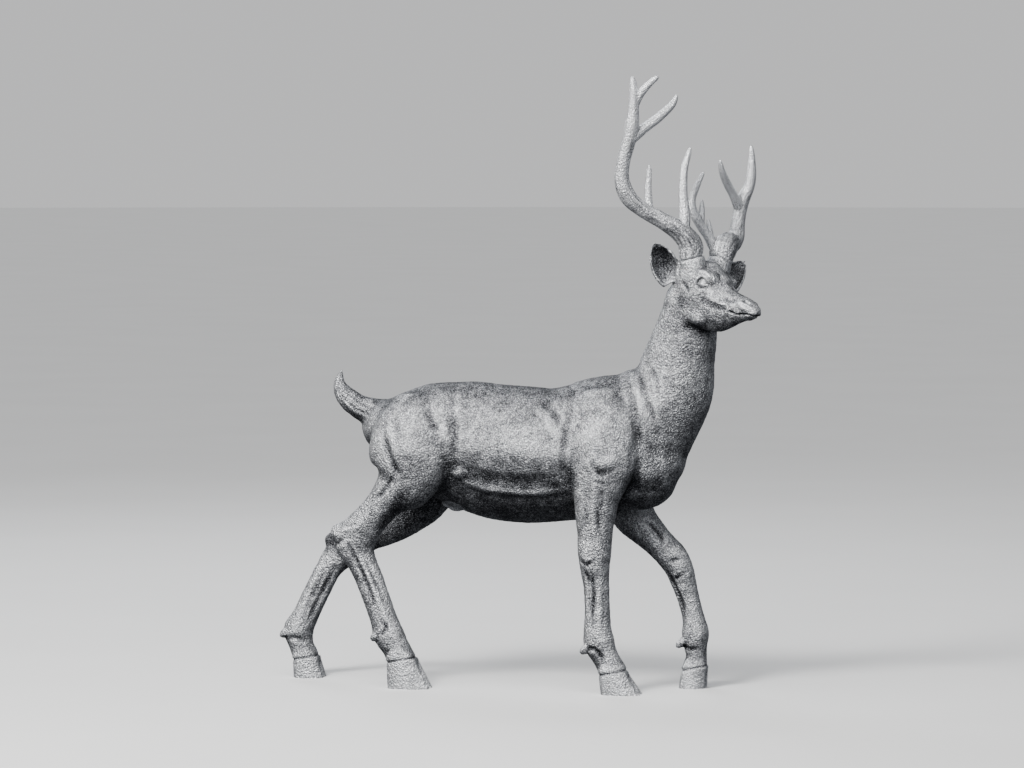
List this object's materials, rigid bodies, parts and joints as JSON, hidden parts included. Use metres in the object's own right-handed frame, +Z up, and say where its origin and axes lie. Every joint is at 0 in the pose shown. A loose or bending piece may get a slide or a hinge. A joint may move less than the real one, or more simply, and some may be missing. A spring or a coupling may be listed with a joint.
{
  "type": "standing deer statue",
  "caption": "Life-size cast statue of a walking antlered stag, head turned to its right, standing on its own hooves.",
  "frame": {"origin": "on the ground under the middle of the statue's bounding box", "axes": "+X the way the deer's body faces, +Y its left side, +Z up"},
  "size_m": [1.3546, 0.3772, 1.6273],
  "materials": {
    "body_finish": "cast metal with a fine pebbled skin, silver rubbed over a dark grey antique wash",
    "antler_finish": "cast metal, grained and dark at the foot, streaked along the beam and bright silver on the tines"
  },
  "bodies": {
    "root": {"deer_body": "body_finish", "antler_right": "antler_finish", "antler_left": "antler_finish"}
  },
  "joints": []
}
